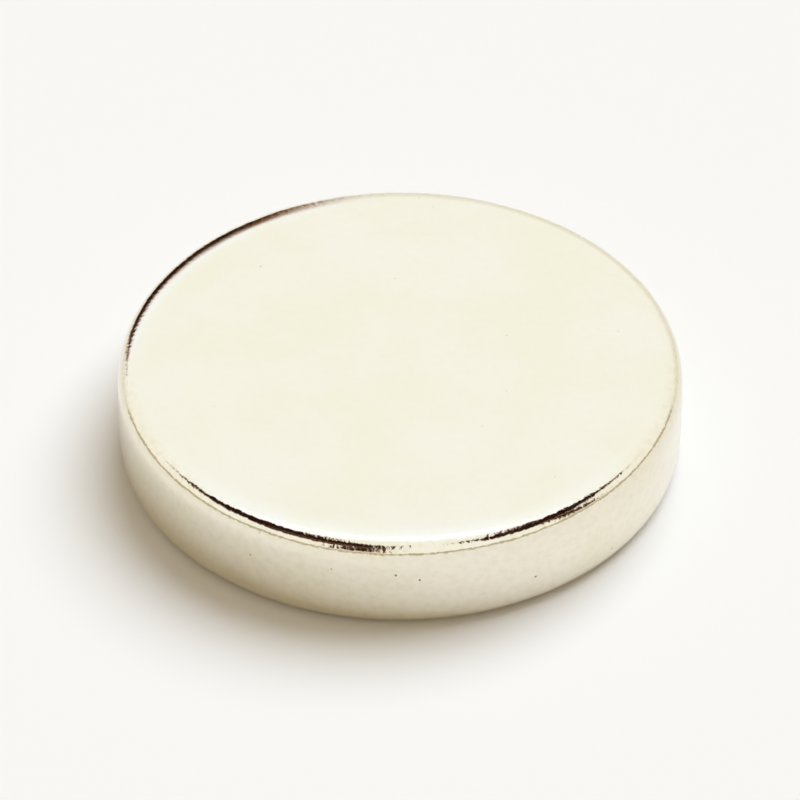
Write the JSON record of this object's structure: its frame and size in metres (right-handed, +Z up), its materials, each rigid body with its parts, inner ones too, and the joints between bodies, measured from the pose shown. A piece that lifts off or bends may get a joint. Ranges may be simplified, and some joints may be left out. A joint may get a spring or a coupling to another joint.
{
  "type": "disc magnet",
  "caption": "Plain round disc magnet with two flat pole faces, a straight rim and rounded edges, bright nickel plated.",
  "frame": {"origin": "middle of the pole face that the disc lies on", "axes": "+Z up along the disc's axis, out of the other pole face; +X and +Y in the face, alike in every direction"},
  "size_m": [0.016, 0.016, 0.003],
  "materials": {
    "nickel_plate": "bright nickel plate with a fine pebbled grain"
  },
  "bodies": {
    "root": {"disc_magnet": "nickel_plate"}
  },
  "joints": []
}
